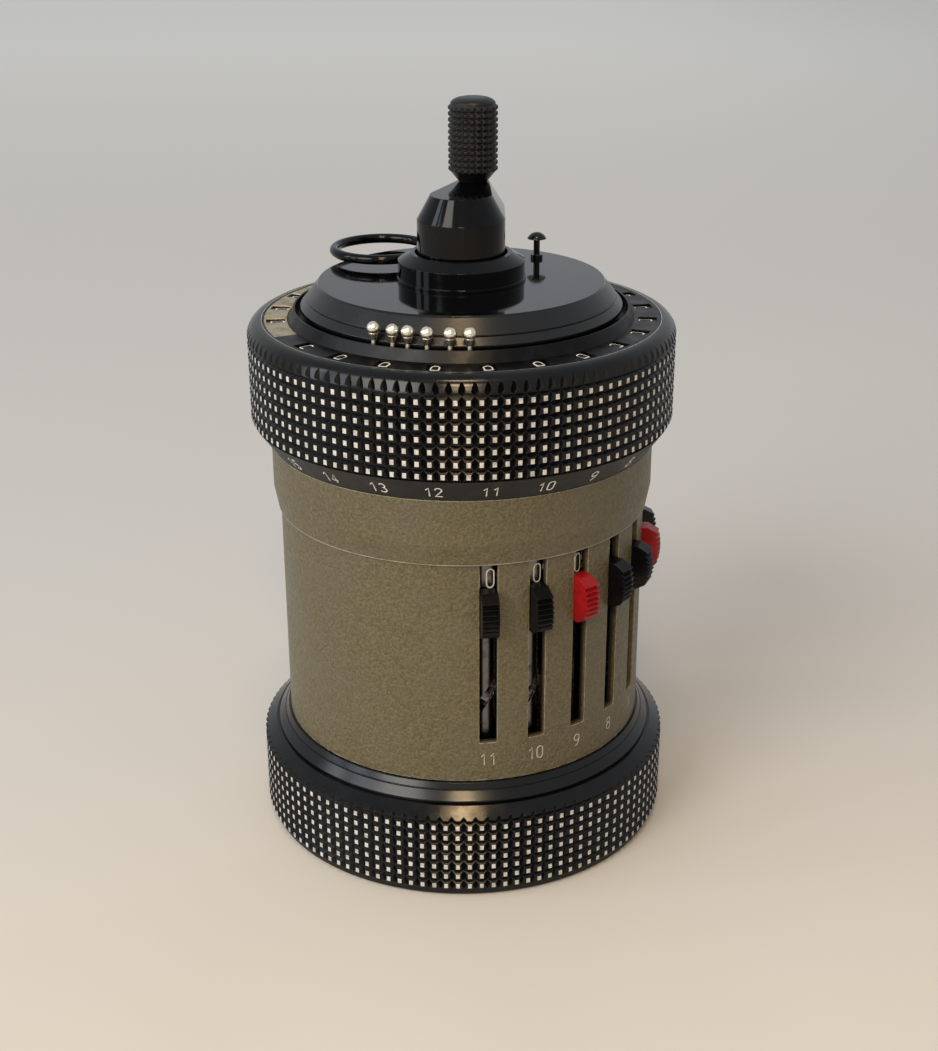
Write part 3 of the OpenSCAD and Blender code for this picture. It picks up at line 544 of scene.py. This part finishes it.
def figures(text, height, stroke, widen=1.0):
    """Vertices and faces of numerals in strokes of that width, centred on the origin."""
    curve = bpy.data.curves.new("figures", "CURVE")
    curve.dimensions = "3D"
    curve.bevel_depth = stroke / 2
    curve.bevel_resolution = 1
    curve.use_fill_caps = True
    middle = ((len(text) - 1) * ADVANCE + NUMERAL_WIDTH) / 2
    for place, character in enumerate(text):
        for points in STROKES[character]:
            spline = curve.splines.new("POLY")
            spline.points.add(len(points) - 1)
            for point, (x, y) in zip(spline.points, points):
                across = x + place * ADVANCE - middle
                point.co = (across * height * widen, (y - 0.5) * height, 0, 1)
    letters = bpy.data.objects.new("figures", curve)
    mesh = bpy.data.meshes.new_from_object(letters)
    bpy.data.objects.remove(letters)
    bpy.data.curves.remove(curve)
    points = [Vector((v.co.x, v.co.y, v.co.z * FLATNESS)) for v in mesh.vertices]
    faces = [tuple(p.vertices) for p in mesh.polygons]
    bpy.data.meshes.remove(mesh)
    return points, faces


def round_upright(points, r, angle, z, axis=(0.0, 0.0), lean=0.0):
    """Bends numerals round an upright cylinder, or a cone that leans outwards by that many radians."""
    bent = []
    for p in points:
        a = math.radians(angle) + p.x / r
        out = r + p.y * math.sin(lean) + p.z * math.cos(lean)
        up = z + p.y * math.cos(lean) - p.z * math.sin(lean)
        bent.append(Vector((axis[0] + out * math.sin(a), axis[1] - out * math.cos(a), up)))
    return bent


def on_dial(points, angle, middle_r, z_axis, dial_r):
    """Bends numerals over the top of a dial that lies on its side, feet outwards."""
    turn = math.radians(angle)
    bent = []
    for p in points:
        a = p.x / dial_r
        side = (dial_r + p.z) * math.sin(a)
        out = middle_r - p.y
        bent.append(Vector((out * math.sin(turn) + side * math.cos(turn),
                            -out * math.cos(turn) + side * math.sin(turn),
                            z_axis + (dial_r + p.z) * math.cos(a))))
    return bent


def figure_piece(name, parts, finish, body):
    """Joins numerals into one piece that rides on a body."""
    mesh = bpy.data.meshes.new(name)
    points, faces = [], []
    for part_points, part_faces in parts:
        faces += [tuple(i + len(points) for i in f) for f in part_faces]
        points += part_points
    mesh.from_pydata([p[:] for p in points], [], faces)
    mesh.materials.append(finish)
    piece = place_object(name, mesh)
    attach(piece, body)


result_angles = [station(k) for k in range(1, RESULTS + 1)]
counter_angles = [counter_angle(k) for k in range(1, COUNTERS + 1)]

number_low = low("number_ring").z
number_rise = low("carriage_ring").z - number_low
number_flare = radius("number_ring") - radius("housing")
number_lean = math.atan2(number_flare, number_rise)
number_z = number_low + NUMBER_AT * number_rise
number_r = radius("housing") + NUMBER_AT * number_flare + PROUD
parts = []
for angles in (result_angles, counter_angles):
    for k, angle in enumerate(angles, 1):
        points, faces = figures(str(k), NUMBER_HEIGHT, NUMBER_STROKE)
        parts.append((round_upright(points, number_r, angle, number_z, lean=number_lean), faces))
figure_piece("number_ring_figures", parts, white_ink, "carriage")

parts = []
for k in range(1, SLIDERS + 1):
    points, faces = figures(str(k), SLOT_HEIGHT, SLOT_STROKE)
    parts.append((round_upright(points, BODY_R + PROUD, station(k), SLOT_FOOT - SLOT_DROP), faces))
figure_piece("slot_figures", parts, pale_ink, "frame")

dial_z = high("result_dials").z - DIAL_R
zero, zero_faces = figures("0", ZERO_HEIGHT, ZERO_STROKE, ZERO_WIDEN)
for name, angles in (("result_figures", result_angles), ("counter_figures", counter_angles)):
    parts = [(on_dial(zero, angle, ZERO_MIDDLE, dial_z, DIAL_R + PROUD), zero_faces) for angle in angles]
    figure_piece(name, parts, white_ink, "carriage")

digits = [figures(str(digit), DIGIT_HEIGHT, DIGIT_STROKE, DIGIT_WIDEN) for digit in range(10)]
for k in range(1, SLIDERS + 1):
    axis = upright_axis(f"setting_shaft_{k}")
    joint = next(j for j in frame["joints"] if j["child"] == f"setting_shaft_{k}")
    parts = []
    for digit, (points, faces) in enumerate(digits):
        angle = station(k) + DIGIT_SHIFT - math.copysign(DIGIT_TURN * digit, joint["axis"][2])
        parts.append((round_upright(points, DRUM_R + PROUD, angle, DIGIT_Z, axis), faces))
    figure_piece(f"drum_figures_{k}", parts, white_ink, f"setting_shaft_{k}")


# Crank: the arm's slanted sides run without a break from the hub to the grip

CIRCLE_POINTS = 144
LEVEL_ANGLE = 0.2          # degrees, under which two faces of the arm count as one
SHARP_ANGLE = 25           # degrees, over which an edge of the arm looks sharp
MAIN_AXIS = (0, 0)


def circle(centre, r, z):
    turns = [2 * math.pi * i / CIRCLE_POINTS for i in range(CIRCLE_POINTS)]
    return [(centre[0] + r * math.cos(a), centre[1] + r * math.sin(a), z) for a in turns]


def hull(bm, points):
    """Adds the tightest closed skin round the points."""
    made = [bm.verts.new(p) for p in points]
    bmesh.ops.convex_hull(bm, input=made)


foot_z = low("crank_arm").z
top_z = high("crank_arm").z
arm_z = top_z - ARM_THICK
grip_axis = upright_axis("crank_grip")
bm = bmesh.new()
hull(bm, circle(MAIN_AXIS, HUB_R, arm_z) + circle(MAIN_AXIS, HUB_TOP_R, top_z)
     + circle(grip_axis, END_R, arm_z) + circle(grip_axis, END_TOP_R, top_z))
hull(bm, circle(MAIN_AXIS, HUB_R, foot_z) + circle(MAIN_AXIS, HUB_R, arm_z))
bmesh.ops.dissolve_limit(bm, angle_limit=math.radians(LEVEL_ANGLE), verts=bm.verts, edges=bm.edges)
mesh = finished_mesh(bm, "crank_arm_smooth", hub_black)
mesh.polygons.foreach_set("use_smooth", [True] * len(mesh.polygons))
mesh.set_sharp_from_angle(angle=math.radians(SHARP_ANGLE))
arm = place_object("crank_arm_smooth", mesh)
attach(arm, "crank")
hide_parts("crank_arm")


# Studio, in metres

FLOOR_R = 4.0
FLOOR_SIDES = 96
CLOTH = srgb(206, 200, 190)
CLOTH_LIGHT = srgb(206, 201, 193)
CLOTH_DARK = srgb(203, 197, 188)
# Painted shadow, painted light and painted shade on the cloth
CLOTH_PAINTED_SHADOW = srgb(190, 189, 188)
CLOTH_PAINTED_LIGHT = srgb(216, 215, 212)
CLOTH_PAINTED_SHADE = srgb(178, 178, 177)


def floor_finish():
    """Pale cloth: warm in front, with a cooler painted shadow behind the machine, painted light far off
    and painted shade to the right.
    """
    f = Finish("floor", CLOTH, roughness=0.8, specular_ior_level=0.1)
    cloth = f.mix(f.ramp(f.noise(60 * MM), 0.3, 0.7), CLOTH_LIGHT, CLOTH_DARK)
    # Painted shadow: cooler and darker behind the machine, where its shadow falls
    cloth = f.mix(f.ramp(f.along("Y"), -0.12, 0.1), cloth, CLOTH_PAINTED_SHADOW)
    # Painted light: paler far off, evening out the lamps' falloff
    cloth = f.mix(f.ramp(f.along("Y"), 0.15, 1.2), cloth, CLOTH_PAINTED_LIGHT)
    # Painted shade: dimmer towards the right
    cloth = f.mix(f.ramp(f.along("X"), 0.05, 0.6, 0.0, 0.5), cloth, CLOTH_PAINTED_SHADE)
    f.set("Base Color", cloth)
    f.bump(f.noise(0.6 * MM, detail=3.0), 0.01 * MM)
    return f.material


bm = bmesh.new()
bmesh.ops.create_circle(bm, cap_ends=True, radius=FLOOR_R, segments=FLOOR_SIDES)
floor = place_object("floor", finished_mesh(bm, "floor", floor_finish()))

LIT_PLACE = Vector((0, 0, 0.055))
PANE = (0.13, 0.42)        # width and height of a window pane
PANE_POWER = 0.8
PANE_COLOUR = (0.8, 0.9, 1.0)


def area_light(name, place, size, power, colour):
    """A rectangular lamp, out of the camera's sight, that shines at the middle of the machine."""
    light = bpy.data.lights.new(name, "AREA")
    light.shape = "RECTANGLE"
    light.size, light.size_y = size
    light.energy = power
    light.color = colour
    lamp = place_object(name, light)
    lamp.location = place
    lamp.visible_camera = False
    point_at(lamp, LIT_PLACE - Vector(place))


area_light("window_pane_1", (-0.63, -0.28, 0.36), PANE, PANE_POWER, PANE_COLOUR)
area_light("window_pane_2", (-0.68, -0.08, 0.36), PANE, PANE_POWER, PANE_COLOUR)
area_light("front_lamp", (0.0, -0.62, 0.54), size=(0.14, 0.09), power=1.9, colour=(1.0, 0.75, 0.43))
area_light("ceiling_lamp", (0.0, -0.3, 0.8), size=(0.15, 0.06), power=1.4, colour=(1.0, 0.7, 0.37))
area_light("low_glow", (0.02, -0.5, 0.03), size=(0.02, 0.3), power=0.04, colour=(1.0, 0.8, 0.55))

# Daylight from the front left, soft enough for a wide shadow
SUN_DIRECTION = Vector((0.56, 0.66, -0.52))
SUN_WIDTH = 32             # degrees across
sun = bpy.data.lights.new("daylight", "SUN")
sun.energy = 1.8
sun.angle = math.radians(SUN_WIDTH)
sun.color = (1.0, 0.965, 0.9)
point_at(place_object("daylight", sun), SUN_DIRECTION)

# A room that is bright overhead and dim behind the camera and to the right
ROOM_LEVEL = 0.24
ROOM_SLOPE = (-0.14, 0.2, 0.42)
ROOM_COLOUR = srgb(241, 246, 252)
SEEN_LEVEL = 0.6           # level of the room where it is seen past the floor, or mirrored
world = bpy.data.worlds.new("studio")
bpy.context.scene.world = world
world.use_nodes = True
room = Nodes(world.node_tree)
direction = room.node("TexCoord").outputs["Generated"]
level = room.math("ADD", room.vector("DOT_PRODUCT", direction, ROOM_SLOPE, output="Value"), ROOM_LEVEL)
level.node.use_clamp = True
rays = room.node("LightPath").outputs
seen = rays["Is Camera Ray"]
for kind in ("Is Glossy Ray", "Is Transmission Ray"):
    seen = room.math("MAXIMUM", seen, rays[kind])
background = world.node_tree.nodes["Background"]
room.join(background.inputs["Color"], ROOM_COLOUR)
room.join(background.inputs["Strength"], room.mix(seen, level, SEEN_LEVEL, "FLOAT"))

# The photograph's camera
CAMERA_PLACE = (0, -0.24, 0.14814)
CAMERA_AIM = (0, 0, 0.04789)
CAMERA_ROLL = -0.0044      # radians
camera_data = bpy.data.cameras.new("camera")
camera_data.sensor_width = 36
camera_data.lens = 55.6
camera_data.shift_x = 0.0063
camera_data.clip_start = 0.01
camera = place_object("camera", camera_data)
camera.location = CAMERA_PLACE
point_at(camera, Vector(CAMERA_AIM) - camera.location)
camera.rotation_euler.rotate_axis("Z", CAMERA_ROLL)
bpy.context.scene.camera = camera

bpy.context.scene.view_settings.view_transform = "Standard"
